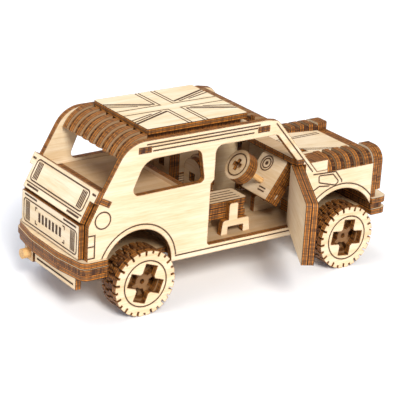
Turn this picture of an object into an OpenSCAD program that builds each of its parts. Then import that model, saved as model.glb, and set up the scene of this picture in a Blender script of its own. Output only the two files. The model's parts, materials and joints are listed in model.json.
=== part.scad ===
// Laser-cut plywood model of a small two-door hatchback, built from a flat-sheet kit.
// X runs forward, Y to the car's left, Z up. Heights are measured from the underside of
// the floor plate, and the origin is on that face, midway between the axles.

/* [Sheet and fits] */
// Thickness of the plywood sheet
sheet = 3; // [2.6:0.1:3.6]
// Gap between a door and the opening around it
door_gap = 0.4; // [0.3:0.05:0.6]
// Radial clearance of a pin or shaft that turns in its bore
run_gap = 0.05; // [0.03:0.01:0.1]
// Depth of an engraved line
groove_d = 0.3; // [0.2:0.05:0.5]
// Width of an engraved line
groove_w = 0.6; // [0.4:0.05:0.9]

/* [Body] */
// Distance between the axles
wheelbase = 121; // [100:1:146]
// Width over the side panels
body_w = 59.4; // [52:0.2:72]
// Height of the side panels' roof edge above the floor's underside
roof_z = 61.8; // [56:0.2:74]
// Height of the waistline, where the doors end
waist_z = 35; // [32:0.5:40]
// Drop of the sill below the floor's underside
sill_drop = 1.5; // [1:0.1:3]
// Side panel behind the rear axle
tail_over = 27.6; // [26:0.2:34]
// Side panel ahead of the front axle
nose_over = 20; // [19:0.2:26]
// Radius of the bonnet's rounded shoulders
shoulder_r = 7; // [5:0.2:8]

/* [Wheels] */
// Radius of a wheel
wheel_r = 16.5; // [13.5:0.1:20]
// Height from the axles up to the floor's underside
axle_drop = 6; // [5:0.1:8]
// Diameter of an axle
axle_d = 4; // [3:0.1:5]
// How far the wheels stand out from the side panels
wheel_out = 7.4; // [5:0.1:9]
// Number of tread notches round a wheel
treads = 26; // [16:1:32]

/* [Doors] */
// Diameter of a door's hinge pin
pin_d = 2.2; // [1.6:0.1:2.6]
// How far the right door stands open
right_open = 60; // [0:1:60]
// Rear edge of a door, ahead of the rear axle
door_rear = 39.5; // [36:0.5:44]

/* [Cabin] */
// Width of a seat
seat_w = 16.5; // [12:0.5:18]
// Depth of a seat cushion, front to back
seat_l = 23; // [18:0.5:26]
// Radius of the steering wheel
steer_r = 8; // [6:0.1:9]
// Diameter of the steering column
column_d = 3; // [2.4:0.1:4]

/* [Hidden] */
$fn = 64;
birch = "#ecd5a5";
birch_pale = "#f3e1ba";
birch_brown = "#b9833f";
eps = 0.01;
// Axle positions, and the inner and outer faces of the side panels
xr = -wheelbase / 2;
xf = wheelbase / 2;
yo = body_w / 2;
yi = yo - sheet;
floor_top = sheet;
wheel_y = yo + wheel_out;
wheel_in = wheel_y - 4 * sheet;
spine_y = wheel_in - 3;
hanger_y = spine_y - 2 * sheet;
arch_rear = [xr, -0.5];
arch_front = [xf, 1.2 - axle_drop];
arch_rear_r = wheel_r + 2.5;
arch_front_r = wheel_r + 6.4;
// Door: hinge pin, front edge of the opening, and the band of the opening
door_front = xf - arch_front_r - 1.2;
pin_x = door_front - door_gap - sheet;
door_back = xr + door_rear;
door_z0 = floor_top + door_gap;
door_z1 = waist_z - door_gap;
hinge_tab = 7;
post_w = 5;
// Engraved frame on the floor's underside, and the foot rests behind the hinge posts
pad_x = 22;
pad_y = 14;
rest_z = 5;
rest_l = 9.5;
rest_w = 11.5;
// Tail: the side panels' rear edge leans forward above the number plate
tail_x = xr - tail_over;
tail_knee = 25;
tail_top = [tail_x + 7.1, waist_z + 3.6];
tail_lean = atan2(tail_top[0] - tail_x, tail_top[1] - tail_knee);
tail_len = norm(tail_top - [tail_x, tail_knee]);
tail_w = body_w - 6.8;
shelf_tab = 6;
shelf_v = -0.8;
bulkhead_x = xr - 12;
shelf_l = (bulkhead_x - tail_top[0]) / cos(tail_lean);
// Bumpers
bumper_r_z = 7.4 - 3 * sheet;
bumper_f_z = 0.5;
bumper_out = 1.8;
bumper_r_reach = 6.4;
bumper_f_reach = 13;
valance_h = 6.3;
pipe_y = 19;
pipe_r = 2.5;
// Roof stack: base plate, riser and the panel on top
base_z = roof_z - 5.8;
base_x0 = xr - 2;
base_x1 = xf - 48.4;
base_tab = 7;
riser_z = base_z + sheet;
panel_z = riser_z + sheet;
panel_x0 = xr + 6;
panel_x1 = xf - 58;
panel_y = yi - 3;
// Curved ribs across the two ends of the roof
rib_r = 16;
rib_in = 10;
rib_step = 1.4;
rib_z = roof_z + 1.2 - rib_r;
rib_rear_x = xr + 5;
rib_front_x = xf - 55;
rib_n = 2 * floor((2 * yi / sheet - 1) / 2) + 1;
// Bonnet
fender_z = 28.4;
cowl_foot_z = 29.8;
ridge_z = fender_z + shoulder_r + 0.1;
bonnet_y = yi - 10;
nose_x = xf + nose_over;
fender_n = floor((nose_over + 10) / sheet);
fender_x = nose_x - fender_n * sheet;
bonnet_z = 31.4;
bonnet_fall = 3;
// Cabin
seat_x = xf - 75;
seat_z = 10.5;
seat_side = yi - sheet - 0.4;
dash_top = [xf - 29, waist_z];
dash_lean = 35.4;
dash_len = 22.4;
dash_y = -yi + sheet + 1.7;
dash_w = 20;
column_v = -15;
column_out = 19;
column_y = dash_y + dash_w / 2;

// ---------------------------------------------------------------- outlines

function unit(v) = v / norm(v);

// Corner p of an outline, rounded to radius r between its neighbours a and b.
function corner(a, p, b, r, n) =
    let (u = unit(a - p), v = unit(b - p), half = acos(u * v) / 2,
         c = p + unit(u + v) * r / sin(half),
         s = p + u * r / tan(half) - c,
         e = p + v * r / tan(half) - c,
         a0 = atan2(s[1], s[0]),
         d = atan2(e[1], e[0]) - a0,
         turn = d > 180 ? d - 360 : d < -180 ? d + 360 : d)
    [for (i = [0 : n]) c + r * [cos(a0 + turn * i / n), sin(a0 + turn * i / n)]];

// Outline from points [x, y, radius], each corner rounded to its own radius.
function rounded(pts, n = 6) =
    [for (i = [0 : len(pts) - 1])
        let (a = pts[(i + len(pts) - 1) % len(pts)], p = pts[i], b = pts[(i + 1) % len(pts)])
        each p[2] == 0 ? [[p[0], p[1]]]
            : corner([a[0], a[1]], [p[0], p[1]], [b[0], b[1]], p[2], n)];

// Rectangle from (x0, y0) to (x1, y1) with corners of radius r.
function box(x0, y0, x1, y1, r) = [[x0, y0, r], [x1, y0, r], [x1, y1, r], [x0, y1, r]];

// Closed outline moved sideways by d along its own normals.
function shifted(p, d) =
    [for (i = [0 : len(p) - 1])
        let (a = p[(i + len(p) - 1) % len(p)], b = p[(i + 1) % len(p)],
             e1 = unit(p[i] - a), e2 = unit(b - p[i]),
             n1 = [-e1[1], e1[0]], n2 = [-e2[1], e2[0]], m = unit(n1 + n2))
        p[i] + m * d / (m * n1)];

// Open path drawn as a stroke of width w.
function stroke(p, w) =
    let (n = len(p),
         nrm = [for (i = [0 : n - 2]) let (e = unit(p[i + 1] - p[i])) [-e[1], e[0]]],
         off = [for (i = [0 : n - 1])
             i == 0 ? nrm[0] : i == n - 1 ? nrm[n - 2]
                 : let (m = unit(nrm[i - 1] + nrm[i])) m / (m * nrm[i])])
    concat([for (i = [0 : n - 1]) p[i] + off[i] * w / 2],
           [for (i = [n - 1 : -1 : 0]) p[i] - off[i] * w / 2]);

// Engraved line along an open path, and one round a closed outline.
module line(p, w = groove_w) { polygon(stroke(p, w)); }
module loop_line(p, w = groove_w) {
    difference() {
        polygon(shifted(p, -w / 2));
        polygon(shifted(p, w / 2));
    }
}
module ring(r, w = groove_w) {
    difference() {
        circle(r + w / 2);
        circle(r - w / 2);
    }
}

// Plates cut from the sheet: the outline's axes are X-Z, Y-Z and X-Y.
module plate_y(y, t = sheet) {
    translate([0, y + t, 0]) rotate([90, 0, 0]) linear_extrude(t) children();
}
module plate_x(x, t = sheet) {
    translate([x, 0, 0]) rotate([90, 0, 90]) linear_extrude(t) children();
}
module plate_z(z, t = sheet) { translate([0, 0, z]) linear_extrude(t) children(); }
module right() { mirror([0, 1, 0]) children(); }

// ---------------------------------------------------------------- side panels

// Each opening in a side panel is an outline of its own, so that what fits it can reuse it.
function quarter_window() = rounded([
    [xr - 5.6, waist_z + 0.6, 3], [door_back - 3.6, waist_z + 1.2, 2.4],
    [door_back - 6.6, roof_z - 8.6, 4], [xr + 1.8, roof_z - 9.2, 9]]);
function door_opening() = rounded([
    [door_back, floor_top, 1.6], [door_front, floor_top, 0], [door_front, waist_z, 0],
    [pin_x - 2.5, waist_z, 0], [pin_x - 2.5, waist_z + sheet, 0.8],
    [xf - 43.4, roof_z - 8.3, 3], [door_back + 1.9, roof_z - 8.3, 4],
    [door_back + 1.9, waist_z + 1.6, 0.6], [door_back, waist_z - 0.4, 0.6]]);

module panel_outline() {
    difference() {
        polygon(rounded([
            [tail_x, bumper_r_z + 3 * sheet, 0], [xr - 10, bumper_r_z + 3 * sheet, 0],
            [xr - 10, -sill_drop, 0], [xf + 12, -sill_drop, 0],
            [xf + 12, 4.5, 0], [nose_x, 4.5, 0], [nose_x, fender_z, 0],
            [fender_x, fender_z, 0], [fender_x, cowl_foot_z, 0], [xf - 17, cowl_foot_z, 0],
            [xf - 17 - (roof_z - 1.2 - cowl_foot_z) * 0.859, roof_z - 1.2, 3],
            [xf - 50, roof_z, 4], [tail_top[0] + (roof_z - tail_top[1]) * 0.573, roof_z, 15.5],
            [tail_top[0], tail_top[1], 0], [tail_x, tail_knee, 4]], 10));
        translate(arch_rear) circle(arch_rear_r, $fn = 96);
        translate(arch_front) circle(arch_front_r, $fn = 96);
        polygon(quarter_window());
        polygon(door_opening());
        translate([base_x0, base_z]) square([base_tab, sheet]);
        translate([base_x1 - base_tab, base_z]) square([base_tab, sheet]);
        translate([door_front - hinge_tab, 0]) square([hinge_tab, sheet]);
        translate([pin_x - 2.5 - eps, waist_z]) square([4.4 + eps, sheet]);
        translate(tail_top) rotate(-tail_lean)
            translate([-1, shelf_v - sheet]) square([1 + shelf_tab, sheet]);
    }
}

module arch_line(c, r, a0, a1) {
    line([for (i = [0 : 28]) c + r * [cos(a0 + (a1 - a0) * i / 28), sin(a0 + (a1 - a0) * i / 28)]]);
}

module panel_lines() {
    lip = 3.5;
    rear_end = acos((lip - sill_drop - arch_rear[1]) / (arch_rear_r + lip));
    front_end = acos((lip - sill_drop - arch_front[1]) / (arch_front_r + lip));
    arch_line(arch_rear, arch_rear_r + lip - 1, 160, 90 - rear_end);
    arch_line(arch_front, arch_front_r + lip - 1, 90 + front_end - 14, 26);
    line([[arch_rear[0] + (arch_rear_r + lip - 1) * sin(rear_end) - 0.2, 1.2],
          [door_front - 3, 1.2]]);
    for (z = [1.8, 3.3, 5.3])
        line([[xr + 0.5 + z, roof_z - z], [base_x1 - base_tab + 3 - z, roof_z - z]]);
    line([[xf - 19.6, cowl_foot_z + 0.5],
          [xf - 19.6 - (roof_z - 3 - cowl_foot_z) * 0.859, roof_z - 2.5]]);
    for (z = [9, 14.8, 20.2])
        line([[tail_x - 1, z], [tail_x + 3.6, z]]);
    line([[tail_x + 3.6, 8.7], [tail_x + 3.6, 20.5]]);
    loop_line(rounded([[xf - 14.9, 23.6, 0.8], [xf - 4.3, 20.6, 0.8], [xf - 2.2, 22.4, 0.8],
        [xf - 6.2, 26.8, 0.8], [xf - 15.3, 27.4, 0.8]], 3));
    line([[xf - 19, 28.6], [xf - 4.6, 28], [xf - 0.2, 22.6], [xf - 0.2, 21.6]]);
    line([[xf - 18.6, 19.6], [xf - 14.6, 21.6], [xf - 8, 20.8]]);
}

module side_panel(cap) {
    difference() {
        plate_y(yi) panel_outline();
        plate_y(yo - groove_d, groove_d + 1) {
            panel_lines();
            if (cap) translate([xr - 20, 26.8]) ring(4.1);
        }
        translate([pin_x, yi, -1]) cylinder(h = waist_z + 2 * sheet, d = pin_d + 2 * run_gap);
    }
}
module left_side_panel() { color(birch) side_panel(false); }
module right_side_panel() { color(birch) right() side_panel(true); }

// ---------------------------------------------------------------- floor and cross plates

module left_and_right() {
    children();
    right() children();
}

// Floor: a narrow spine between the wheels, full width under the cabin, with a tab under
// each hinge pin and a slot for every axle hanger.
module chassis_floor() {
    color(birch_brown) difference() {
        plate_z(0) difference() {
            union() {
                translate([tail_x, -spine_y]) square([nose_x - tail_x, 2 * spine_y]);
                translate([xr + arch_rear_r + 2, -yi])
                    square([door_front - xr - arch_rear_r - 2, 2 * yi]);
                translate([door_front - hinge_tab, -yo]) square([hinge_tab, 2 * yo]);
            }
            for (x = [xr, xf], y = [-1, 1])
                translate([x - 4, y * (hanger_y + sheet / 2) - sheet / 2]) square([8, sheet]);
        }
        hinge_bores();
        plate_z(groove_d - 1, 1)
            loop_line(rounded(box(-pad_x, -pad_y, pad_x, pad_y, 2)));
    }
}

module hinge_bores() {
    for (y = [-yi, yi])
        translate([pin_x, y, -1]) cylinder(h = waist_z + 2 * sheet, d = pin_d);
}

// Plate across the foot of the windscreen; its ends hold the tops of the hinge pins.
module cowl_plate() {
    color(birch) difference() {
        plate_z(waist_z) union() {
            translate([pin_x - 3, -yi]) square([xf - 21.5 - pin_x + 3, 2 * yi]);
            translate([pin_x - 2.5, -yo]) square([4.4, 2 * yo]);
        }
        hinge_bores();
    }
}

// Second layer behind each door's front edge.
module hinge_posts() {
    color(birch_brown) left_and_right()
        plate_y(yi - sheet) translate([door_front, floor_top])
            square([post_w, cowl_foot_z - 0.3 - floor_top]);
}

module rear_bulkhead() {
    color(birch) plate_x(bulkhead_x) {
        translate([-yi, 12]) square([2 * yi, waist_z - 13]);
        translate([-spine_y + 4, floor_top]) square([2 * spine_y - 8, 10]);
    }
}

module seat_bulkhead() {
    color(birch) plate_x(xr + arch_rear_r + 4) difference() {
        translate([-yi, floor_top]) square([2 * yi, waist_z + 1 - floor_top]);
        for (y = [-1, 1]) {
            translate([y * 13 - 2.5, waist_z - 7]) square([5, 5]);
            polygon(rounded(box(y * 13 - 6, 9, y * 13 + 6, 20, 2)));
        }
    }
}

module parcel_shelf() {
    color(birch) plate_z(waist_z - 4)
        translate([bulkhead_x + sheet, -yi]) square([arch_rear_r + 16 - sheet, 2 * yi]);
}

// ---------------------------------------------------------------- tail

// Frame on the leaning rear edge: +X points into the car, +Z up along the edge.
module tail_frame() {
    translate([tail_top[0], 0, tail_top[1]]) rotate([0, tail_lean, 0]) children();
}

module tail_shelf() {
    color(birch) tail_frame() union() {
        translate([0, -yi, shelf_v - sheet]) cube([shelf_l, 2 * yi, sheet]);
        translate([0, -yo, shelf_v - sheet]) cube([shelf_tab, 2 * yo, sheet]);
    }
}

// Engraved shading: a band of short strokes side by side.
module hatch_band(y0, y1, z0, z1) {
    n = round((y1 - y0) / 1.1);
    for (i = [0 : n - 1])
        translate([y0 + (i + 0.15) * (y1 - y0) / n, z0]) square([0.7, z1 - z0]);
}

module upper_tail_panel() {
    h = tail_len;
    w = tail_w / 2;
    color(birch_pale) tail_frame() difference() {
        plate_x(-sheet) union() {
            translate([-w, -h]) square([2 * w, h + 1.6]);
            translate([-yo, -4.4]) square([2 * yo, 6]);
        }
        plate_x(-sheet - 1, 1 + groove_d) union() {
            loop_line(rounded(box(-w + 2.4, -h + 4.4, w - 2.4, -0.4, 2.2)));
            for (y = [-1, 1])
                mirror([y > 0 ? 1 : 0, 0]) {
                    hatch_band(-w + 4, -w + 8.4, -h + 5.4, -1.4);
                    line([[-yo + 1, -1], [-w + 0.6, -1]], 0.9);
                    line([[-w + 2.5, -h + 1.6], [-w + 13, -h + 1.6]], 0.9);
                }
            line([[-w + 1, -h + 3], [w - 1, -h + 3]], 0.5);
        }
    }
}

module number_plate_panel() {
    w = tail_w / 2;
    z0 = bumper_r_z + 3 * sheet + 0.6;
    z1 = tail_knee - 0.3;
    color(birch_pale) difference() {
        plate_x(tail_x - sheet) translate([-w, z0]) square([2 * w, z1 - z0]);
        plate_x(tail_x - sheet - 1, 1 + groove_d) union() {
            loop_line(rounded(box(-w + 1.8, z0 + 1.6, w - 1.8, z1 - 3.4, 2)));
            for (y = [-1, 1])
                mirror([y > 0 ? 1 : 0, 0]) {
                    hatch_band(-w + 3.4, -w + 7.6, z0 + 2.6, z1 - 4.2);
                    line([[-w + 2.5, z1 - 1.4], [-w + 14, z1 - 1.4]], 0.9);
                    line([[-13.4, z0 + 5], [-13.4, z0 + 3.4], [-11.8, z0 + 3.4]]);
                    line([[-11.8, z1 - 5], [-13.4, z1 - 5], [-13.4, z1 - 6.6]]);
                }
            for (i = [-3 : 3])
                translate([i * 3.2 - 0.9, z0 + 5.4]) square([1.8, z1 - z0 - 12]);
        }
    }
}

// Bumper seen from above: x = 0 is the body's end and +x points away from the car. It
// reaches out by reach, its ends wrap back by wrap, and d moves its outer edge inwards.
module bumper_outline(reach, wrap, d) {
    y = yo + bumper_out - d;
    difference() {
        polygon(rounded([
            [-wrap, -y, 0.4], [reach - 3.2 - d, -y, 4], [reach - d, -12, 30],
            [reach - d, 12, 30], [reach - 3.2 - d, y, 4], [-wrap, y, 0.4]]));
        translate([-30, -yi]) square([30, 2 * yi]);
    }
}
module rear_bumper(z, d) {
    plate_z(z) translate([tail_x, 0]) mirror([1, 0]) bumper_outline(bumper_r_reach, 10.6, d);
}
module rear_bumper_top() { color(birch) rear_bumper(bumper_r_z + 2 * sheet, 0.6); }
module rear_bumper_middle() { color(birch_brown) rear_bumper(bumper_r_z + sheet, 0); }
module rear_bumper_bottom() { color(birch) rear_bumper(bumper_r_z, 0.6); }

module rear_valance() {
    color(birch_pale) difference() {
        plate_x(tail_x - sheet) translate([-yi + 2, bumper_r_z - valance_h])
            square([yi - 2 + 13, valance_h]);
        plate_x(tail_x - sheet - 1, 1 + groove_d)
            line([[-yi + 4, bumper_r_z - valance_h + 2.2], [11, bumper_r_z - valance_h + 2.2]], 0.9);
    }
}
module tailpipe_bracket() {
    color(birch_brown) difference() {
        plate_x(tail_x - sheet) translate([pipe_y - 4, bumper_r_z - 7.6]) square([8, 7.6]);
        pipe_rod(pipe_r);
    }
}
module pipe_rod(r) {
    translate([tail_x - 7, pipe_y, bumper_r_z - 4]) rotate([0, 90, 0]) cylinder(h = 12, r = r);
}
module tailpipe() { color(birch) pipe_rod(pipe_r); }

// ---------------------------------------------------------------- roof

module roof_base() {
    color(birch_brown) plate_z(base_z) union() {
        translate([base_x0, -yi]) square([base_x1 - base_x0, 2 * yi]);
        translate([base_x0, -yo]) square([base_tab, 2 * yo]);
        translate([base_x1 - base_tab, -yo]) square([base_tab, 2 * yo]);
    }
}
module roof_riser() {
    color(birch_brown) plate_z(riser_z)
        translate([panel_x0 + 2, -panel_y + 2.6])
            square([panel_x1 - panel_x0 - 4, 2 * panel_y - 5.2]);
}

// The panel's engraving: an upright cross of double lines over a diagonal one.
module cross_lines() {
    lx = (panel_x1 - panel_x0) / 2;
    arm = 3.6;
    outer = arm + 1.9;
    start = [outer, outer * 0.9 + 0.6];
    end = [lx + 1, panel_y * 0.66];
    way = unit(end - start);
    for (a = [0, 1], b = [0, 1]) mirror([a, 0]) mirror([0, b]) {
        line([[arm, panel_y + 1], [arm, arm * 0.9], [lx + 1, arm * 0.9]]);
        line([[outer, panel_y + 1], [outer, start[1] - 0.1]]);
        line([start, end], 1.2);
        line([start + 3 * way - [0, 1.9], end - [0, 2.1]], 0.7);
        line([start + 10 * way - [0, 3.4], end - [0, 4.8]], 0.7);
    }
}
module roof_panel() {
    color(birch_pale) difference() {
        plate_z(panel_z) polygon(rounded(box(panel_x0, -panel_y, panel_x1, panel_y, 0.8), 3));
        translate([(panel_x0 + panel_x1) / 2, 0, 0])
            plate_z(panel_z + sheet - groove_d, groove_d + 1) cross_lines();
    }
}

// One rib, X-Z: a quarter ring that hooks over the end of the roof base. way is 1 at the
// front of the roof and -1 at the back, and the ring ends at angle low above the horizontal.
module roof_rib(x, r, way, low, end_x) {
    difference() {
        translate([x, rib_z]) circle(r, $fn = 96);
        translate([x, rib_z]) circle(rib_in, $fn = 96);
        translate([x - (way > 0 ? 30 : 0), rib_z - 30]) square([30, 29 + base_z - rib_z + 1]);
        translate([way > 0 ? end_x - 60 : end_x, rib_z - 30])
            square([60, 30 + riser_z - rib_z]);
        translate([way > 0 ? x - 60 : x, rib_z - 30]) square([60, 60]);
        translate([x, rib_z]) rotate(way > 0 ? low : 180 - low)
            translate([-30, way > 0 ? -60 : 0]) square([60, 60]);
        translate([x - 30, rib_z - 60]) square([60, 60]);
    }
}
// Ribs of one size: first is 0 for the large ones and 1 for the small ones between them.
module roof_rib_row(x, way, low, end_x, first) {
    y0 = -rib_n * sheet / 2;
    for (i = [first : 2 : rib_n - 1])
        plate_y(y0 + i * sheet) roof_rib(x, rib_r - first * rib_step, way, low, end_x);
}
module rear_roof_ribs_large() { color(birch_brown) roof_rib_row(rib_rear_x, -1, 23, base_x0, 0); }
module rear_roof_ribs_small() { color(birch_brown) roof_rib_row(rib_rear_x, -1, 25, base_x0, 1); }
module front_roof_ribs_large() { color(birch_brown) roof_rib_row(rib_front_x, 1, 40, base_x1, 0); }
module front_roof_ribs_small() { color(birch_brown) roof_rib_row(rib_front_x, 1, 42, base_x1, 1); }

// ---------------------------------------------------------------- bonnet and nose

module bonnet() {
    l = nose_x - xf + 22;
    color(birch_pale) difference() {
        translate([xf - 22, 0, bonnet_z]) rotate([0, atan(bonnet_fall / l), 0]) difference() {
            plate_z(0) translate([0, -bonnet_y]) square([l - 0.4, 2 * bonnet_y]);
            plate_z(sheet - groove_d, groove_d + 1) {
                for (y = [-1, 1], d = [0, 1.8])
                    line([[2, y * (5 + d)], [l - 3, y * (bonnet_y - 5 + d)]]);
                line([[3, -bonnet_y + 1], [3, bonnet_y - 1]]);
            }
            translate([9, -bonnet_y + 5, -1]) cube([4, 4, sheet + 2]);
        }
    }
}

// One shoulder rib, Y-Z, on the left side; d makes it smaller.
module shoulder_outline(d) {
    polygon(rounded([[bonnet_y, fender_z, 0], [yo - d, fender_z, 0],
        [yo - d, ridge_z - d, shoulder_r - d], [bonnet_y, ridge_z - d, 1]]));
}
module shoulder_row(first) {
    left_and_right() for (i = [first : 2 : fender_n - 1])
        plate_x(fender_x + i * sheet) shoulder_outline(first * 1.3);
}
module shoulder_ribs_large() { color(birch_brown) shoulder_row(0); }
module shoulder_ribs_small() { color(birch_brown) shoulder_row(1); }

// Blocks beside the windscreen's foot, each a stack of plates standing along the body.
module cowl_blocks() {
    z1 = ridge_z - 0.4;
    n = floor((yo - 0.3 - bonnet_y) / sheet);
    color(birch) left_and_right() for (i = [0 : n - 1])
        plate_y(yo - 0.3 - (i + 1) * sheet) polygon([
            [xf - 16.5, cowl_foot_z], [fender_x, cowl_foot_z], [fender_x, z1],
            [xf - 16.5 - (z1 - cowl_foot_z) * 0.859, z1]]);
}

module nose_outline(z0, drop) {
    polygon(rounded([[-yo, z0, 0], [yo, z0, 0], [yo, ridge_z, shoulder_r],
        [bonnet_y, ridge_z, 0.8], [bonnet_y, bonnet_z - drop, 0],
        [-bonnet_y, bonnet_z - drop, 0], [-bonnet_y, ridge_z, 0.8], [-yo, ridge_z, shoulder_r]]));
}
module nose_backing() {
    color(birch_brown) plate_x(nose_x) nose_outline(bumper_f_z + 3 * sheet, 0.2);
}
module grille_panel() {
    z0 = bumper_f_z + 3 * sheet;
    color(birch_pale) difference() {
        plate_x(nose_x + sheet) nose_outline(z0 + 4, 0.2);
        plate_x(nose_x + 2 * sheet - groove_d, groove_d + 1) {
            for (y = [-1, 1])
                translate([y * (yo - 8.4), z0 + 13]) {
                    ring(6.2);
                    ring(4.6);
                }
            loop_line(rounded(box(-12.5, z0 + 6, 12.5, z0 + 16.4, 3)));
            for (z = [8 : 1.6 : 15])
                line([[-10.6, z0 + z], [10.6, z0 + z]]);
        }
    }
}

module front_bumper(z, d) {
    plate_z(z) translate([nose_x, 0]) bumper_outline(bumper_f_reach, 0, d);
}
module front_bumper_top() { color(birch) front_bumper(bumper_f_z + 2 * sheet, 0); }
module front_bumper_middle() { color(birch_brown) front_bumper(bumper_f_z + sheet, 1); }
module front_bumper_bottom() { color(birch) front_bumper(bumper_f_z, 0); }

// ---------------------------------------------------------------- cabin

// Blocks of two layers against the hinge posts, the upper one with a square hole.
module foot_rests() {
    color(birch) left_and_right() translate([door_front, yi - sheet - rest_w, 0]) {
        plate_z(rest_z) square([rest_l, rest_w]);
        plate_z(rest_z + sheet) difference() {
            square([rest_l, rest_w]);
            translate([2.5, 3.6]) square([4, 4]);
        }
    }
}

module seat_brackets() {
    x = seat_x + 6;
    color(birch_pale) left_and_right() {
        plate_y(seat_side - sheet) difference() {
            polygon(rounded([[x, floor_top, 0], [x + 17.5, floor_top, 0],
                [x + 16.5, seat_z, 1.5], [x + 9.6, seat_z, 0], [x + 9.6, seat_z + 8.6, 1.2],
                [x + 4.4, seat_z + 8.6, 1.2], [x + 4.4, seat_z, 0], [x + 1, seat_z, 1.5]]));
            translate([x + 4, floor_top - 1]) square([9.2, 5]);
        }
        plate_y(seat_side - seat_w) difference() {
            translate([x, floor_top]) square([17.5, seat_z - floor_top]);
            translate([x + 4, floor_top - 1]) square([9.2, 5]);
        }
    }
}

// Three layers, the middle one set back, and lines engraved along the top one.
module seat_cushion() {
    y0 = seat_side - sheet - seat_w + sheet;
    for (i = [0 : 2])
        difference() {
            plate_z(seat_z + i * sheet)
                polygon(rounded(box(seat_x + 0.1, y0, seat_x + seat_l - (i == 1 ? 1 : 0),
                    seat_side - sheet - 0.1, 1.6), 3));
            if (i == 2) plate_z(seat_z + 3 * sheet - groove_d, 1 + groove_d)
                for (k = [1 : 4])
                    line([[seat_x + 2, y0 + k * seat_w / 6], [seat_x + seat_l - 3, y0 + k * seat_w / 6]]);
        }
}
module left_seat_cushion() { color(birch) seat_cushion(); }
module right_seat_cushion() { color(birch) right() seat_cushion(); }

module seat_back() {
    y0 = seat_side - seat_w - 0.5;
    y1 = seat_side - sheet;
    top = waist_z + 8;
    for (i = [0, 1])
        plate_x(seat_x - (i + 1) * sheet) difference() {
            polygon(rounded([[y0, floor_top, 0], [y1, floor_top, 0], [y1, top - i * 1.5, 6],
                [y0, top - i * 1.5, 6]]));
            translate([(y0 + y1) / 2 - 2.2, top - 13]) square([4.4, 4.4]);
            if (i == 1) translate([(y0 + y1) / 2 - 2.2, 12]) square([4.4, 8]);
        }
}
module left_seat_back() { color(birch) seat_back(); }
module right_seat_back() { color(birch) right() seat_back(); }

// Frame on the dashboard's top edge: +X points forward through it, +Z up along its face.
module dash_frame() {
    translate([dash_top[0], 0, dash_top[1]]) rotate([0, dash_lean, 0]) children();
}
module column_rod(x0, x1, d) {
    translate([x0, column_y, column_v]) rotate([0, 90, 0]) cylinder(h = x1 - x0, d = d);
}
module dash_face() {
    color(birch_pale) dash_frame() difference() {
        plate_x(0) polygon(rounded([[dash_y, -dash_len, 0], [dash_y + dash_w, -dash_len, 0],
            [dash_y + dash_w, -0.2, 3], [dash_y, -0.2, 2]]));
        plate_x(-1, 1 + groove_d) {
            translate([dash_y + dash_w - 7, -6]) {
                ring(3.9);
                ring(2.6);
                circle(1, $fn = 24);
            }
            line([[dash_y + 4, -dash_len + 3], [dash_y + 9, -dash_len + 3]]);
            line([[dash_y + 4, -dash_len + 4.6], [dash_y + 9, -dash_len + 4.6]]);
        }
        column_rod(-1, sheet + 1, column_d + 2 * run_gap);
    }
}
module dash_core() {
    color(birch_brown) dash_frame() for (i = [1, 2])
        difference() {
            plate_x(i * sheet) difference() {
                translate([dash_y, -dash_len]) square([dash_w, dash_len - 0.4]);
                translate([dash_y - 1, -13]) square([2, 3]);
                if (i == 1) translate([dash_y - 1, -20]) square([2.4, 3]);
            }
            column_rod(0, 4 * sheet, column_d + 2 * run_gap);
        }
}
// Upright plate that carries the dashboard, resting on the floor.
module dash_bracket() {
    b = [cos(dash_lean), -sin(dash_lean)] * 3 * sheet;
    top = dash_top + b - [sin(dash_lean), cos(dash_lean)] * 1;
    low = dash_top + b - [sin(dash_lean), cos(dash_lean)] * dash_len;
    color(birch) plate_y(dash_y + dash_w - sheet) difference() {
        polygon(rounded([[low[0] - 1, floor_top, 0], [xf - 17, floor_top, 0],
            [xf - 17, 22, 4], top_point(top), top_point(low), [low[0] - 1, low[1] - 1, 0]]));
        translate([low[0] + 5, 8]) square([5, 8]);
    }
}
function top_point(p) = [p[0], p[1], 0];

module steering_column() {
    color(birch_brown) dash_frame() column_rod(-column_out + sheet, 3 * sheet - 0.5, column_d);
}
module steering_wheel() {
    color(birch) dash_frame() {
        difference() {
            plate_x(-column_out) translate([column_y, column_v]) difference() {
                circle(steer_r);
                square([2.2, 6], center = true);
                square([6, 2.2], center = true);
            }
            plate_x(-column_out - 1, 1 + groove_d) translate([column_y, column_v]) ring(steer_r - 2.2);
        }
        plate_x(-column_out + sheet) translate([column_y, column_v]) difference() {
            circle(steer_r);
            circle(d = column_d);
        }
    }
}

// ---------------------------------------------------------------- running gear

module axle_rod(x, y0, y1, d) {
    translate([x, y1, -axle_drop]) rotate([90, 0, 0]) cylinder(h = y1 - y0, d = d);
}
module axle_hangers(x) {
    left_and_right() difference() {
        plate_y(hanger_y) union() {
            polygon([[x - 8, 0], [x + 8, 0], [x + 4.4, -axle_drop], [x - 4.4, -axle_drop]]);
            translate([x, -axle_drop]) circle(4.6);
            translate([x - 4, 0]) square([8, sheet]);
        }
        axle_rod(x, hanger_y - 1, hanger_y + sheet + 1, axle_d + 2 * run_gap);
    }
}
module front_axle_hangers() { color(birch) axle_hangers(xf); }
module rear_axle_hangers() { color(birch) axle_hangers(xr); }

// An axle: a dowel with a collar against the inside of each wheel.
module axle(x) {
    axle_rod(x, -wheel_y + 2 * sheet, wheel_y - 2 * sheet, axle_d);
    left_and_right() axle_rod(x, hanger_y + sheet + 0.3, wheel_in, axle_d + 2.6);
}
module front_axle() { color(birch_brown) axle(xf); }
module rear_axle() { color(birch_brown) axle(xr); }

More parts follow.
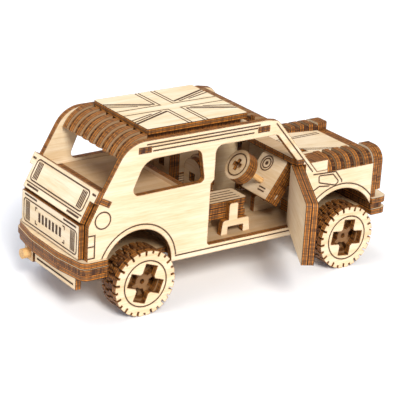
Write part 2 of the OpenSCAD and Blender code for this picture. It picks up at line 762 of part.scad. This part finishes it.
// Wheel layers lie in a frame of their own: +Z is outwards, z = 0 is the outer face.
module wheel_at(x) {
    translate([x, wheel_y, -axle_drop]) rotate([-90, 0, 0]) children();
}
module notched_disc(turn, n, w, d) {
    difference() {
        circle(wheel_r, $fn = 96);
        for (i = [0 : n - 1])
            rotate(turn + i * 360 / n) translate([wheel_r - d * (i % 2 == 0 ? 1 : 0.6), -w / 2])
                square([2 * d, w]);
    }
}
module cross(l, w) {
    square([2 * l, w], center = true);
    square([w, 2 * l], center = true);
}
module wheel_face(x, turn) {
    wheel_at(x) rotate(turn) difference() {
        translate([0, 0, -sheet]) linear_extrude(sheet) difference() {
            notched_disc(0, treads, 1, wheel_r * 0.14);
            cross(wheel_r * 0.58, wheel_r * 0.42);
            circle(wheel_r * 0.34, $fn = 48);
        }
        translate([0, 0, -groove_d]) linear_extrude(groove_d + 1) ring(wheel_r * 0.7);
    }
}
module wheel_core(x, turn) {
    wheel_at(x) rotate(turn) {
        translate([0, 0, -2 * sheet]) linear_extrude(sheet) difference() {
            union() {
                difference() {
                    notched_disc(90 / treads, treads, 1.5, wheel_r * 0.12);
                    circle(wheel_r * 0.52, $fn = 48);
                }
                rotate(45) cross(wheel_r * 0.54, wheel_r * 0.14);
                circle(wheel_r * 0.22, $fn = 48);
            }
            circle(axle_d / 2 - 0.8, $fn = 32);
        }
        translate([0, 0, -3 * sheet]) linear_extrude(sheet) difference() {
            notched_disc(0, treads, 1.5, wheel_r * 0.12);
            for (a = [0 : 90 : 270])
                rotate(a) translate([wheel_r * 0.45, 0]) circle(wheel_r * 0.14, $fn = 24);
            circle(d = axle_d);
        }
        translate([0, 0, -4 * sheet]) linear_extrude(sheet) difference() {
            notched_disc(90 / treads, treads, 1.2, wheel_r * 0.14);
            circle(d = axle_d);
        }
    }
}
module front_left_wheel_face() { color(birch) wheel_face(xf, 8); }
module front_left_wheel_core() { color(birch_brown) wheel_core(xf, 8); }
module front_right_wheel_face() { color(birch) right() wheel_face(xf, 8); }
module front_right_wheel_core() { color(birch_brown) right() wheel_core(xf, 8); }
module rear_left_wheel_face() { color(birch) wheel_face(xr, 20); }
module rear_left_wheel_core() { color(birch_brown) wheel_core(xr, 20); }
module rear_right_wheel_face() { color(birch) right() wheel_face(xr, 20); }
module rear_right_wheel_core() { color(birch_brown) right() wheel_core(xr, 20); }

// ---------------------------------------------------------------- doors

// A pin runs from the floor's tab, through the door's two layers, to the cowl plate.
module hinge_pins() {
    color(birch_brown) left_and_right()
        translate([pin_x, yi, 0]) cylinder(h = waist_z + sheet, d = pin_d);
}

// Door seen from its side; its hinge end is rounded about the pin by door_half().
module door_outline() {
    polygon(rounded([[door_back + door_gap, door_z0, 1.4], [pin_x, door_z0, 0],
        [pin_x, door_z1, 0], [door_back + door_gap, door_z1, 1.8]]));
}
// One layer of the left door, shut; side is 1 for the skin outside the pin, -1 inside.
module door_half(side) {
    difference() {
        union() {
            plate_y(side > 0 ? yi : yi - sheet) door_outline();
            translate([pin_x, yi, door_z0]) intersection() {
                cylinder(h = door_z1 - door_z0, r = sheet);
                translate([-sheet, side > 0 ? 0 : -sheet, -1]) cube([2 * sheet, sheet, waist_z]);
            }
        }
        translate([pin_x, yi, 0]) cylinder(h = waist_z, d = pin_d + 2 * run_gap);
    }
}
// Turns a left door open about its pin.
module swung(angle) {
    translate([pin_x, yi, 0]) rotate(-angle) translate([-pin_x, -yi, 0]) children();
}
module door_skin() {
    difference() {
        door_half(1);
        plate_y(yo - groove_d, groove_d + 1) {
            loop_line(rounded(box(door_back + 4, door_z0 + 3, pin_x - 4, door_z1 - 3, 2.5)));
            loop_line(rounded(box(door_back + 7, door_z1 - 10, door_back + 15, door_z1 - 7, 1.2)));
        }
    }
}
module left_door_skin() { color(birch) door_skin(); }
module left_door_liner() { color(birch) door_half(-1); }
module right_door_skin() { color(birch) right() swung(right_open) door_skin(); }
module right_door_liner() { color(birch) right() swung(right_open) door_half(-1); }

// ---------------------------------------------------------------- nodes

right_side_panel();
left_side_panel();
chassis_floor();
cowl_plate();
hinge_posts();
rear_bulkhead();
seat_bulkhead();
parcel_shelf();
tail_shelf();
upper_tail_panel();
number_plate_panel();
rear_bumper_top();
rear_bumper_middle();
rear_bumper_bottom();
rear_valance();
tailpipe_bracket();
tailpipe();
roof_base();
roof_riser();
roof_panel();
rear_roof_ribs_large();
rear_roof_ribs_small();
front_roof_ribs_large();
front_roof_ribs_small();
bonnet();
shoulder_ribs_large();
shoulder_ribs_small();
cowl_blocks();
nose_backing();
grille_panel();
front_bumper_top();
front_bumper_middle();
front_bumper_bottom();
seat_brackets();
right_seat_cushion();
left_seat_cushion();
right_seat_back();
left_seat_back();
dash_face();
dash_core();
dash_bracket();
foot_rests();
steering_column();
steering_wheel();
front_axle_hangers();
rear_axle_hangers();
front_axle();
rear_axle();
front_right_wheel_face();
front_right_wheel_core();
front_left_wheel_face();
front_left_wheel_core();
rear_right_wheel_face();
rear_right_wheel_core();
rear_left_wheel_face();
rear_left_wheel_core();
hinge_pins();
right_door_skin();
right_door_liner();
left_door_skin();
left_door_liner();
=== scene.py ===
import json
import math

import bpy
import numpy as np
from mathutils import Matrix, Vector


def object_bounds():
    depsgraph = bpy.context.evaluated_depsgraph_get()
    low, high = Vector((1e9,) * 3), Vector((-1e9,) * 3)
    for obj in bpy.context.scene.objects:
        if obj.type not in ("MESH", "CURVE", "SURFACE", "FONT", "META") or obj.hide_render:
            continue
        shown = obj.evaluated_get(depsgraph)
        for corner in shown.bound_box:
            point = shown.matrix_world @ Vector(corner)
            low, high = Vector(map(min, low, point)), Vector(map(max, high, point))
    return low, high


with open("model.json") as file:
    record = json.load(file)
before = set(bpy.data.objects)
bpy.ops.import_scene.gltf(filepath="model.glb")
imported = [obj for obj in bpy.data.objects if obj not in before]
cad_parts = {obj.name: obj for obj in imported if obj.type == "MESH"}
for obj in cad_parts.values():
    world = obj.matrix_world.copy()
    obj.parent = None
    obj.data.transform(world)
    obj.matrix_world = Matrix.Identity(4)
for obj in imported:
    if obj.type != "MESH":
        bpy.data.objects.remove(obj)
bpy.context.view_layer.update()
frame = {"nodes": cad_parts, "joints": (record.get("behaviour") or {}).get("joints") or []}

# ---------------------------------------------------------------- camera and studio
# The model stands on a pale table, seen from behind its right side and a little above.
# A broad sun-like key light comes over its right side, a soft light fills its tail, and
# another one hangs above it.
camera_data = bpy.data.cameras.new("camera")
camera = bpy.data.objects.new("camera", camera_data)
bpy.context.scene.collection.objects.link(camera)
bpy.context.scene.camera = camera
camera_data.sensor_width = 36.0
camera_data.lens = 149.855
camera_data.clip_start = 0.05
camera_place = (-0.4562, -0.6233, 0.3158)
yaw, pitch, roll = (math.radians(degrees) for degrees in (-35.885, 21.489, 3.434))
across = Vector((math.cos(yaw), math.sin(yaw), 0))
back = Vector((
    math.sin(yaw) * math.cos(pitch), -math.cos(yaw) * math.cos(pitch), math.sin(pitch)
))
upward = back.cross(across)
camera_x = across * math.cos(roll) + upward * math.sin(roll)
camera_y = upward * math.cos(roll) - across * math.sin(roll)
turn = Matrix((camera_x, camera_y, back)).transposed()
camera.matrix_world = Matrix.Translation(camera_place) @ turn.to_4x4()


def linear(hex_colour):
    """An sRGB hex colour as the opaque linear RGBA that Blender's sockets take.

    A channel up to 0.04045 is divided by 12.92; a brighter one has 0.055 added, is divided
    by 1.055 and raised to the power 2.4.
    """
    values = [int(hex_colour[i : i + 2], 16) / 255 for i in (1, 3, 5)]
    channels = [v / 12.92 if v <= 0.04045 else ((v + 0.055) / 1.055) ** 2.4 for v in values]
    return (*channels, 1.0)


world = bpy.data.worlds.new("studio")
bpy.context.scene.world = world
world.use_nodes = True
backdrop = world.node_tree.nodes["Background"].inputs
backdrop["Color"].default_value = linear("#EEF2FF")
backdrop["Strength"].default_value = 0.34
bpy.context.scene.view_settings.view_transform = "Standard"

lamp_target = Vector((0, 0, 0.02))  # a point in the model's cabin


def soft_light(name, place, width, watts, colour):
    """A square area light of a given width at place, turned towards the model's cabin."""
    data = bpy.data.lights.new(name, "AREA")
    data.size = width
    data.energy = watts
    data.color = linear(colour)[:3]
    lamp = bpy.data.objects.new(name, data)
    bpy.context.scene.collection.objects.link(lamp)
    lamp.location = place
    aim = lamp_target - Vector(place)
    lamp.rotation_euler = aim.to_track_quat("-Z", "Y").to_euler()


key_direction = Vector((0.26, 0.80, -0.66))
key_data = bpy.data.lights.new("key", "SUN")
key_data.energy = 3.5
key_data.angle = math.radians(20)
key_data.color = linear("#FFFCF6")[:3]
key = bpy.data.objects.new("key", key_data)
bpy.context.scene.collection.objects.link(key)
key.rotation_euler = key_direction.to_track_quat("-Z", "Y").to_euler()
soft_light("fill", (-0.95, -0.10, 0.45), 0.6, 2.2, "#F2F5FF")
soft_light("top", (0.0, 0.30, 0.95), 0.6, 3.2, "#FFFFFF")

ground_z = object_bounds()[0].z
reach = 40.0  # half the table's width, so that low views meet no edge
floor_corners = [
    (x, y, ground_z)
    for x, y in ((-reach, -reach), (reach, -reach), (reach, reach), (-reach, reach))
]
floor_data = bpy.data.meshes.new("table")
floor_data.from_pydata(floor_corners, [], [(0, 1, 2, 3)])
floor = bpy.data.objects.new("table", floor_data)
bpy.context.scene.collection.objects.link(floor)
floor_finish = bpy.data.materials.new("table_white")
floor_finish.use_nodes = True
floor_shader = floor_finish.node_tree.nodes["Principled BSDF"]
floor_shader.inputs["Base Color"].default_value = linear("#FBFCFF")
floor_shader.inputs["Roughness"].default_value = 0.9
floor_data.materials.append(floor_finish)


# ---------------------------------------------------------------- side panels
# The two sides are single sheets of birch plywood. The laser leaves their faces pale,
# scorches a thin rim along every cut, and turns the cut edge itself dark brown.
def wire(tree, node_type, inputs=(), **settings):
    """Adds a node, sets its settings, and fills its inputs in order from links or values."""
    node = tree.nodes.new(node_type)
    for setting, value in settings.items():
        setattr(node, setting, value)
    for socket, value in zip(node.inputs, inputs):
        if isinstance(value, bpy.types.NodeSocket):
            tree.links.new(value, socket)
        else:
            socket.default_value = value
    return node.outputs[0]


def maths(tree, operation, *inputs):
    """A scalar Math node."""
    return wire(tree, "ShaderNodeMath", inputs, operation=operation)


def vector(tree, operation, *inputs):
    """A Vector Math node; DOT_PRODUCT gives its value, the rest their vector."""
    node = wire(tree, "ShaderNodeVectorMath", inputs, operation=operation).node
    return node.outputs["Value" if operation == "DOT_PRODUCT" else "Vector"]


def smooth(tree, value, low, high):
    """0 below low, 1 above high, and a smooth step between."""
    node = wire(tree, "ShaderNodeMapRange", (value, low, high, 0.0, 1.0)).node
    node.interpolation_type = "SMOOTHSTEP"
    return node.outputs["Result"]


def noise(tree, place, scale, detail, roughness=0.5):
    """Fractal noise between 0 and 1 at a place, with scale features to the metre."""
    node = tree.nodes.new("ShaderNodeTexNoise")
    tree.links.new(place, node.inputs["Vector"])
    node.inputs["Scale"].default_value = scale
    node.inputs["Detail"].default_value = detail
    node.inputs["Roughness"].default_value = roughness
    return node.outputs["Fac"]


def mixed(tree, share, a, b):
    """Colour a blended into colour b by share."""
    node = wire(tree, "ShaderNodeMix", data_type="RGBA").node
    for name, value in (("Factor", share), ("A", a), ("B", b)):
        socket = next(s for s in node.inputs if s.name == name and s.enabled)
        if isinstance(value, bpy.types.NodeSocket):
            tree.links.new(value, socket)
        else:
            socket.default_value = value
    return next(s for s in node.outputs if s.enabled)


def ramp(tree, value, stops):
    """Colour ramp through (place, hex colour) stops."""
    node = tree.nodes.new("ShaderNodeValToRGB")
    tree.links.new(value, node.inputs["Fac"])
    band = node.color_ramp
    while len(band.elements) > 1:
        band.elements.remove(band.elements[-1])
    band.elements[0].position = stops[0][0]
    band.elements[0].color = linear(stops[0][1])
    for place, colour in stops[1:]:
        band.elements.new(place).color = linear(colour)
    return node.outputs["Color"]


sheet = 0.003  # thickness of the plywood, metres


def plywood_group():
    """Shader group for laser-cut plywood, in Object coordinates.

    Plate is the sheet's normal, Offset its face's distance from the origin along it, and
    Sheet its thickness. With Mirror at 1 the distance is taken without its sign, for a node
    whose pieces stand on both sides of the origin. A point whose normal is along Plate is
    on a face: pale, with grain stretched along Grain, and engraved where it lies below the
    face, unless Lines is 0. Any other point is on a cut edge, which shows the plies as
    bands across the thickness. The warmth input turns the faces from pale to tan, the char
    input burns the cut edges, and the soot input browns the faces; on pieces in shade and on
    the small ribs all three are raised as painted shade, and the large ribs' low char is a
    painted highlight. Seed moves the pattern to another place in the sheet. The group gives
    the Colour, the Roughness and the Height for a bump.
    """
    tree = bpy.data.node_groups.new("laser_cut_plywood", "ShaderNodeTree")
    for name, kind, start in (
        ("Plate", "NodeSocketVector", (0, 0, 1)), ("Grain", "NodeSocketVector", (1, 0, 0)),
        ("Offset", "NodeSocketFloat", 0.0), ("Sheet", "NodeSocketFloat", sheet),
        ("Mirror", "NodeSocketFloat", 0.0), ("Lines", "NodeSocketFloat", 1.0),
        ("Warmth_and_shade", "NodeSocketFloat", 0.3), ("Char_and_shade", "NodeSocketFloat", 0.5),
        ("Soot_and_shade", "NodeSocketFloat", 0.0),
        ("Seed", "NodeSocketVector", (0, 0, 0)),
    ):
        socket = tree.interface.new_socket(name, in_out="INPUT", socket_type=kind)
        socket.default_value = start
    for name, kind in (("Colour", "NodeSocketColor"), ("Roughness", "NodeSocketFloat"),
                       ("Height", "NodeSocketFloat")):
        tree.interface.new_socket(name, in_out="OUTPUT", socket_type=kind)
    given = tree.nodes.new("NodeGroupInput").outputs
    result = tree.nodes.new("NodeGroupOutput").inputs
    coords = tree.nodes.new("ShaderNodeTexCoord").outputs
    place = coords["Object"]

    # how squarely the surface faces along the plate's normal, and how deep it lies
    facing = maths(tree, "ABSOLUTE", vector(tree, "DOT_PRODUCT", coords["Normal"], given["Plate"]))
    face = smooth(tree, facing, 0.62, 0.78)
    along = vector(tree, "DOT_PRODUCT", place, given["Plate"])
    folded = maths(tree, "ABSOLUTE", along)
    one_sided = maths(tree, "SUBTRACT", 1.0, given["Mirror"])
    along = maths(tree, "ADD", maths(tree, "MULTIPLY", along, one_sided),
                  maths(tree, "MULTIPLY", folded, given["Mirror"]))
    layer = maths(tree, "DIVIDE", maths(tree, "SUBTRACT", along, given["Offset"]), given["Sheet"])
    across_ply = maths(tree, "PINGPONG", layer, 0.5)
    below = maths(tree, "MULTIPLY", smooth(tree, across_ply, 0.03, 0.06), given["Lines"])

    # the wall of an engraved line lies just under the face, and is burnt like the line
    engraved = maths(tree, "MULTIPLY", below, face)
    shallow = maths(tree, "SUBTRACT", 1.0, smooth(tree, across_ply, 0.10, 0.12))
    rim_wall = maths(tree, "MULTIPLY", maths(tree, "MULTIPLY", shallow, given["Lines"]),
                     maths(tree, "SUBTRACT", 1.0, face))

    # a rounded normal differs from the plate's within 0.8 mm of a cut
    bevel = tree.nodes.new("ShaderNodeBevel")
    bevel.samples = 4
    bevel.inputs["Radius"].default_value = 0.0008
    turned = tree.nodes.new("ShaderNodeVectorTransform")
    turned.vector_type = "NORMAL"
    turned.convert_from = "WORLD"
    turned.convert_to = "OBJECT"
    tree.links.new(bevel.outputs["Normal"], turned.inputs["Vector"])
    rounded = vector(tree, "DOT_PRODUCT", turned.outputs["Vector"], given["Plate"])
    square_on = smooth(tree, maths(tree, "ABSOLUTE", rounded), 0.80, 0.995)
    rim = maths(tree, "MULTIPLY", maths(tree, "SUBTRACT", 1.0, square_on), face)

    # grain: noise squeezed along the grain's direction
    seeded = vector(tree, "ADD", place, given["Seed"])
    run = vector(tree, "DOT_PRODUCT", seeded, given["Grain"])
    stretch = tree.nodes.new("ShaderNodeVectorMath")
    stretch.operation = "SCALE"
    tree.links.new(given["Grain"], stretch.inputs[0])
    tree.links.new(maths(tree, "MULTIPLY", run, -0.94), stretch.inputs["Scale"])
    lengthwise = vector(tree, "ADD", seeded, stretch.outputs["Vector"])
    fine = noise(tree, lengthwise, 1500.0, 3.0, 0.6)
    broad = noise(tree, lengthwise, 260.0, 3.0, 0.55)
    cloud = noise(tree, seeded, 34.0, 2.0)
    fleck = smooth(tree, noise(tree, lengthwise, 800.0, 1.0), 0.66, 0.74)
    tone = maths(tree, "ADD", maths(tree, "MULTIPLY", broad, 0.55), maths(tree, "MULTIPLY", fine, 0.45))
    tone = smooth(tree, tone, 0.30, 0.72)
    tone = maths(tree, "ADD", maths(tree, "MULTIPLY", tone, 0.55), maths(tree, "MULTIPLY", cloud, 0.45))
    pale = ramp(tree, tone, ((0.0, "#D6B686"), (0.35, "#E5CDA6"), (0.6, "#EDDBBC"), (1.0, "#F5EAD2")))
    warm = ramp(tree, tone, ((0.0, "#94683A"), (0.5, "#B58853"), (1.0, "#CFA777")))
    # warmth mixes in the wood's own tan, and on pieces in shade it is painted shade as well
    surface = mixed(tree, given["Warmth_and_shade"], pale, warm)
    surface = mixed(tree, maths(tree, "MULTIPLY", fleck, 0.22), surface, linear("#B98A50"))
    scorch = maths(tree, "MULTIPLY", rim, maths(tree, "ADD", 0.5, maths(tree, "MULTIPLY", broad, 0.8)))
    surface = mixed(tree, scorch, surface, linear("#84491A"))
    # the soot input browns the faces: the laser's own browning, plus painted shade on pieces in shade
    # and on the small ribs
    smoke_and_shade = maths(tree, "MULTIPLY", given["Soot_and_shade"], maths(tree, "ADD", 0.55, broad))
    surface = mixed(tree, smoke_and_shade, surface, linear("#5A3415"))
    burnt_line = mixed(tree, fine, linear("#241004"), linear("#4A2A12"))
    surface = mixed(tree, maths(tree, "MULTIPLY", engraved, 0.93), surface, burnt_line)

    # the cut edge: plies across the thickness, streaked along the beam's path
    ply_place = maths(tree, "FRACT", layer)
    plies = ramp(tree, ply_place, (
        (0.0, "#241003"), (0.06, "#6A3A12"), (0.15, "#C9802E"), (0.28, "#B86E26"),
        (0.33, "#3A1C08"), (0.38, "#7A5026"), (0.50, "#8F6236"), (0.62, "#7A5026"),
        (0.67, "#3A1C08"), (0.72, "#B86E26"), (0.85, "#C9802E"), (0.94, "#6A3A12"),
        (1.0, "#241003"),
    ))
    flat = tree.nodes.new("ShaderNodeVectorMath")
    flat.operation = "SCALE"
    tree.links.new(given["Plate"], flat.inputs[0])
    depth_part = vector(tree, "DOT_PRODUCT", seeded, given["Plate"])
    tree.links.new(maths(tree, "MULTIPLY", depth_part, -0.9), flat.inputs["Scale"])
    beam = vector(tree, "ADD", seeded, flat.outputs["Vector"])
    streak = smooth(tree, noise(tree, beam, 1000.0, 3.0, 0.65), 0.30, 0.74)
    patch = noise(tree, seeded, 120.0, 2.0)
    streaked = maths(tree, "MULTIPLY_ADD", streak, 0.9, -0.36)
    # char darkens the cut edges: the laser's burn, plus painted shade on pieces in shade and on the
    # small ribs
    charring_and_shade = maths(tree, "MULTIPLY", maths(tree, "SUBTRACT", given["Char_and_shade"], 0.5), 0.9)
    burn = maths(tree, "ADD", streaked, charring_and_shade)
    burn = maths(tree, "ADD", burn, maths(tree, "MULTIPLY", patch, 0.55))
    burn.node.use_clamp = True
    edge = mixed(tree, burn, plies, linear("#3A1D0A"))
    edge = mixed(tree, maths(tree, "MULTIPLY", rim_wall, 0.9), edge, linear("#2A1206"))
    colour = mixed(tree, face, edge, surface)

    rough = maths(tree, "ADD", 0.50, maths(tree, "MULTIPLY", face, 0.10))
    rough = maths(tree, "ADD", rough, maths(tree, "MULTIPLY", fine, 0.14))
    edge_only = maths(tree, "SUBTRACT", 1.0, face)
    ridge = maths(tree, "MULTIPLY", edge_only, smooth(tree, across_ply, 0.0, 0.12))
    cut_relief = maths(tree, "ADD", maths(tree, "MULTIPLY", streak, 0.3),
                       maths(tree, "MULTIPLY", ridge, 0.5))
    height = maths(tree, "ADD", maths(tree, "MULTIPLY", fine, 0.35), cut_relief)
    for socket, value in (("Colour", colour), ("Roughness", rough), ("Height", height)):
        tree.links.new(value, result[socket])
    return tree


plywood = plywood_group()


def faced(node, normal=None):
    """The sheet's normal, its outermost offset along it, and the largest offset of either sign.

    Triangle areas are summed over the triangles that share each large triangle's direction,
    and the direction with the largest sum is the sheet's, unless a normal is given. It is
    turned so that its largest part is positive. An offset is a corner's dot product with it.
    """
    mesh = frame["nodes"][node].data
    corners = np.empty(len(mesh.vertices) * 3)
    mesh.vertices.foreach_get("co", corners)
    corners = corners.reshape(-1, 3)
    mesh.calc_loop_triangles()
    index = np.empty(len(mesh.loop_triangles) * 3, np.int32)
    mesh.loop_triangles.foreach_get("vertices", index)
    a, b, c = corners[index.reshape(-1, 3)].transpose(1, 0, 2)
    cross = np.cross(b - a, c - a)
    if normal is None:
        area = np.linalg.norm(cross, axis=1)
        largest = np.argsort(-area)[:200]
        ways = cross[largest] / area[largest, None]
        directions = cross / np.maximum(area, 1e-15)[:, None]
        parallel = np.abs(ways @ directions.T) > 0.9995
        normal = ways[int(np.argmax(parallel @ area))]
    normal = np.asarray(normal, float)
    if normal[np.argmax(np.abs(normal))] < 0:
        normal = -normal
    offsets = corners @ normal
    return normal, float(offsets.max()), float(np.abs(offsets).max())


# warmth, char and soot give the wood's tone and the laser's burn; where they are raised for a piece in
# shade, they are painted shade
def plywood_finish(node, warmth_and_shade=0.3, char_and_shade=0.5, soot_and_shade=0.0, normal=None, mirror=False, lines=True):
    """Gives a CAD node its own plywood material, cut from a different place in the sheet.

    The grain is level: the cross product of the sheet's normal and the vertical, or the x
    axis where the sheet lies flat.
    """
    way, outer, outer_either = faced(node, normal)
    grain = np.cross(way, (0, 0, 1)) if abs(way[2]) < 0.9 else np.array((1.0, 0, 0))
    grain /= np.linalg.norm(grain)
    finish = bpy.data.materials.new("plywood_" + node)
    finish.use_nodes = True
    tree = finish.node_tree
    shader = tree.nodes["Principled BSDF"]
    group = tree.nodes.new("ShaderNodeGroup")
    group.node_tree = plywood
    number = sorted(frame["nodes"]).index(node)
    values = {
        "Plate": way, "Grain": grain, "Offset": outer_either if mirror else outer,
        "Sheet": sheet, "Mirror": float(mirror), "Lines": float(lines),
        "Warmth_and_shade": warmth_and_shade, "Char_and_shade": char_and_shade, "Soot_and_shade": soot_and_shade,
        "Seed": (0.173 * number, 0.071 * number, 0.119 * number),
    }
    for name, value in values.items():
        group.inputs[name].default_value = value
    bump = tree.nodes.new("ShaderNodeBump")
    bump.inputs["Strength"].default_value = 0.35
    bump.inputs["Distance"].default_value = 0.00025
    tree.links.new(group.outputs["Height"], bump.inputs["Height"])
    tree.links.new(group.outputs["Colour"], shader.inputs["Base Color"])
    tree.links.new(group.outputs["Roughness"], shader.inputs["Roughness"])
    tree.links.new(bump.outputs["Normal"], shader.inputs["Normal"])
    shader.inputs["Specular IOR Level"].default_value = 0.35
    mesh = frame["nodes"][node].data
    mesh.materials.clear()
    mesh.materials.append(finish)


for side in ("right_side_panel", "left_side_panel"):
    plywood_finish(side, warmth_and_shade=0.10)

# ---------------------------------------------------------------- floor and cross plates
# Plates that tie the two sides together and stand out of sight or in the cabin's shade.
# They come from the same sheets, and slot into the sides with square tabs. Their high
# warmth, char and soot are painted shade.
for node in ("chassis_floor", "cowl_plate", "rear_bulkhead", "seat_bulkhead",
             "parcel_shelf", "tail_shelf"):
    plywood_finish(node, warmth_and_shade=0.6, char_and_shade=0.7, soot_and_shade=0.22)
plywood_finish("hinge_posts", warmth_and_shade=0.5, mirror=True)

# ---------------------------------------------------------------- tail and bumpers
# The engraved plywood panels stand across the sides' rear edges, over a bumper glued up
# from three layers. The front bumper is made like it, and a bracket holds the tailpipe.
for node in ("upper_tail_panel", "number_plate_panel", "rear_valance"):
    plywood_finish(node, warmth_and_shade=0.05)
for node in ("rear_bumper_top", "rear_bumper_bottom", "front_bumper_top", "front_bumper_bottom"):
    plywood_finish(node, warmth_and_shade=0.25, char_and_shade=0.45)
for node in ("rear_bumper_middle", "front_bumper_middle", "tailpipe_bracket"):
    plywood_finish(node, warmth_and_shade=0.4, char_and_shade=0.85)

# ---------------------------------------------------------------- roof
# Three layers of plywood, the engraved one on top, between two rows of curved ribs, with
# two shorter rows beside the bonnet. A rib shows mostly its cut edge, so the rows are
# among the darkest things on the model. The small ribs sit between the large ones and get
# more char and soot as painted shade; the large ones get less char, a painted highlight.
plywood_finish("roof_panel", warmth_and_shade=0.0, char_and_shade=0.5)
for node in ("roof_riser", "roof_base"):
    plywood_finish(node, warmth_and_shade=0.4, char_and_shade=0.9)
for row in ("rear_roof_ribs", "front_roof_ribs", "shoulder_ribs"):
    plywood_finish(row + "_large", warmth_and_shade=0.7, char_and_shade=0.38, soot_and_shade=0.45)
    plywood_finish(row + "_small", warmth_and_shade=0.9, char_and_shade=1.0, soot_and_shade=0.85)

# ---------------------------------------------------------------- bonnet and nose
# The bonnet is one pale sheet between the rows of ribs, with a block of plates glued side
# by side at each end of the windscreen's foot. The nose is two layers of plywood, the
# front one engraved as a grille.
plywood_finish("bonnet", warmth_and_shade=0.12)
plywood_finish("cowl_blocks", warmth_and_shade=0.15, normal=(0, 1, 0), mirror=True)
for node in ("nose_backing", "grille_panel"):
    plywood_finish(node, warmth_and_shade=0.2, char_and_shade=0.55)

# ---------------------------------------------------------------- cabin
# Two seats, each a cushion of three layers and a back of two beside upright brackets, and
# a layered dashboard behind a steering wheel of stacked discs, all cut from the same
# plywood. Painted shade of the cabin, on top of the laser's own browning, leaves most of
# them browner than the outside: their warmth and soot are raised for it.
for side in ("right_", "left_"):
    plywood_finish(side + "seat_cushion", warmth_and_shade=0.3, char_and_shade=0.65, soot_and_shade=0.12, normal=(0, 0, 1))
    plywood_finish(side + "seat_back", warmth_and_shade=0.5, char_and_shade=0.7, soot_and_shade=0.2)
plywood_finish("seat_brackets", warmth_and_shade=0.15, lines=False)
for node in ("dash_face", "steering_wheel", "foot_rests"):
    plywood_finish(node, warmth_and_shade=0.3, char_and_shade=0.55, soot_and_shade=0.1)
plywood_finish("dash_core", warmth_and_shade=0.4, char_and_shade=0.5)
plywood_finish("dash_bracket", warmth_and_shade=0.25)

# ---------------------------------------------------------------- running gear
# A wheel is a pale face sheet over a core of darker layers, glued on a hardwood dowel that
# turns in two plywood hangers. The hinge pins, the steering column and the tailpipe are
# cut from the same kind of dowel.
for node in ("front_axle_hangers", "rear_axle_hangers"):
    plywood_finish(node, warmth_and_shade=0.4, mirror=True)
for wheel in ("front_right", "front_left", "rear_right", "rear_left"):
    plywood_finish(wheel + "_wheel_face", warmth_and_shade=0.15, char_and_shade=0.6)
    plywood_finish(wheel + "_wheel_core", warmth_and_shade=0.9, char_and_shade=0.85, soot_and_shade=0.7, normal=(0, 1, 0))


def dowel_finish(node, axis):
    """Gives a CAD node a hardwood finish, with its grain's noise stretched along the axis."""
    finish = bpy.data.materials.new("dowel_" + node)
    finish.use_nodes = True
    tree = finish.node_tree
    shader = tree.nodes["Principled BSDF"]
    place = tree.nodes.new("ShaderNodeTexCoord").outputs["Object"]
    run = vector(tree, "DOT_PRODUCT", place, axis)
    squeeze = tree.nodes.new("ShaderNodeVectorMath")
    squeeze.operation = "SCALE"
    squeeze.inputs[0].default_value = axis
    tree.links.new(maths(tree, "MULTIPLY", run, -0.93), squeeze.inputs["Scale"])
    lengthwise = vector(tree, "ADD", place, squeeze.outputs["Vector"])
    fine = noise(tree, lengthwise, 1400.0, 3.0)
    broad = noise(tree, lengthwise, 300.0, 2.0)
    tone = maths(tree, "ADD", maths(tree, "MULTIPLY", fine, 0.6),
                 maths(tree, "MULTIPLY", broad, 0.4))
    colour = ramp(tree, tone, ((0.25, "#A87843"), (0.5, "#D2A66B"), (0.8, "#E8C796")))
    tree.links.new(colour, shader.inputs["Base Color"])
    rough = maths(tree, "ADD", 0.5, maths(tree, "MULTIPLY", fine, 0.2))
    tree.links.new(rough, shader.inputs["Roughness"])
    bump = tree.nodes.new("ShaderNodeBump")
    bump.inputs["Strength"].default_value = 0.3
    bump.inputs["Distance"].default_value = 0.0002
    tree.links.new(fine, bump.inputs["Height"])
    tree.links.new(bump.outputs["Normal"], shader.inputs["Normal"])
    mesh = frame["nodes"][node].data
    mesh.materials.clear()
    mesh.materials.append(finish)


dowel_finish("front_axle", (0, 1, 0))
dowel_finish("rear_axle", (0, 1, 0))
dowel_finish("hinge_pins", (0, 0, 1))
dowel_finish("tailpipe", (1, 0, 0))
steering_joint = next(j for j in frame["joints"] if j["name"] == "steering_spin")
dowel_finish("steering_column", tuple(steering_joint["axis"]))

# ---------------------------------------------------------------- doors
# Each door is two sheets of plywood glued face to face, an outer skin and an inner liner.
# The hinge pin lies in a groove between them.
for side in ("right_door", "left_door"):
    plywood_finish(side + "_skin", warmth_and_shade=0.12)
    plywood_finish(side + "_liner", warmth_and_shade=0.2)
